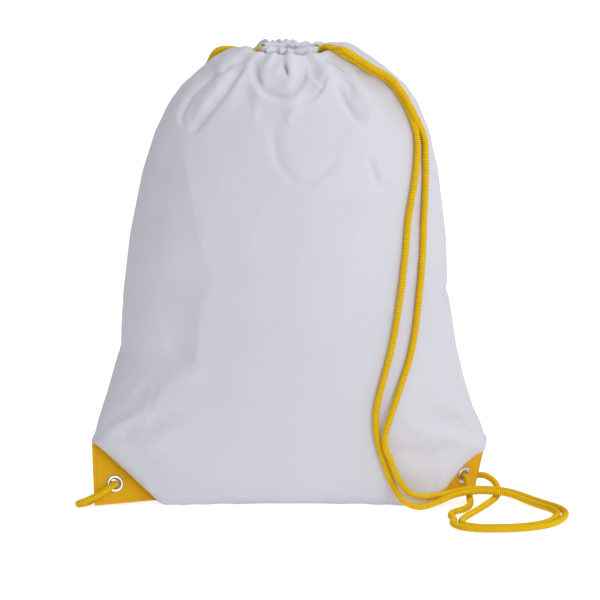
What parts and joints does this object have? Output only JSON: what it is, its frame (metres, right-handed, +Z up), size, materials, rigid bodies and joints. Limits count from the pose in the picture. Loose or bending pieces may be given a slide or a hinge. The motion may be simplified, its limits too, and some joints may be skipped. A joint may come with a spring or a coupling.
{
  "type": "drawstring backpack",
  "caption": "Stuffed drawstring backpack with a gathered neck, corded shoulder straps, corner patches and eyelets.",
  "frame": {"origin": "middle of the sack's footprint on the resting plane", "axes": "+Z up, +X to the wearer's left as the front is faced, -Y out of the front panel"},
  "size_m": [0.4198, 0.2063, 0.398],
  "materials": {
    "cloth": "satin woven polyester",
    "patch": "grained leatherette",
    "cord": "braided polypropylene cord",
    "eyelet": "polished nickel"
  },
  "bodies": {
    "bag": {"front_panel": "cloth", "back_panel": "cloth", "right_shoulder_strand_a": "cord", "right_shoulder_strand_b": "cord", "left_shoulder_strand_a": "cord", "left_shoulder_strand_b": "cord"},
    "mouth_front": {"front_channel": "cloth", "right_cord_front_pass": "cord", "left_cord_front_pass": "cord"},
    "mouth_back": {"back_channel": "cloth", "right_cord_back_pass": "cord", "left_cord_back_pass": "cord"},
    "left_corner": {"left_corner_patch_front": "patch", "left_corner_patch_back": "patch", "left_eyelet": "eyelet", "left_eyelet_washer": "eyelet", "left_cord_knot": "cord", "left_eyelet_cord": "cord", "left_knot_tail": "cord"},
    "right_corner": {"right_corner_patch_front": "patch", "right_corner_patch_back": "patch", "right_eyelet": "eyelet", "right_eyelet_washer": "eyelet", "right_cord_knot": "cord", "right_eyelet_cord": "cord", "right_edge_cord": "cord"},
    "left_strap": {"left_strap_strand_a": "cord", "left_strap_strand_b": "cord"},
    "right_strap": {"right_strap_strand_a": "cord", "right_strap_strand_b": "cord"}
  },
  "joints": [
    {"name": "mouth_front_open", "type": "hinge", "parent": "bag", "child": "mouth_front", "pos_m": [0, -0.05, 0.3], "axis": [1, 0, 0], "range_deg": [0, 20]},
    {"name": "mouth_back_open", "type": "hinge", "parent": "bag", "child": "mouth_back", "pos_m": [0, 0.05, 0.3], "axis": [1, 0, 0], "range_deg": [-20, 0]},
    {"name": "left_corner_flex", "type": "hinge", "parent": "bag", "child": "left_corner", "pos_m": [-0.111, -0.033, 0.003], "axis": [-0.7468, 0.0383, 0.6639], "range_deg": [-15, 20], "stiffness_Nm_per_rad": 0.05},
    {"name": "right_corner_flex", "type": "hinge", "parent": "bag", "child": "right_corner", "pos_m": [0.121, -0.037, 0.003], "axis": [0.5875, 0.4856, 0.6474], "range_deg": [-15, 10], "stiffness_Nm_per_rad": 0.05},
    {"name": "left_strap_swing", "type": "hinge", "parent": "bag", "child": "left_strap", "pos_m": [-0.1501, -0.0386, 0.0184], "axis": [0.1347, 0.2269, 0.9646], "range_deg": [0, 60]},
    {"name": "right_strap_swing", "type": "hinge", "parent": "bag", "child": "right_strap", "pos_m": [0.1478, -0.0112, 0.0197], "axis": [-0.0915, -0.0388, 0.995], "range_deg": [0, 60]}
  ],
  "couplings": [
    {"joint": "mouth_back_open", "follows": "mouth_front_open", "ratio": -1}
  ]
}
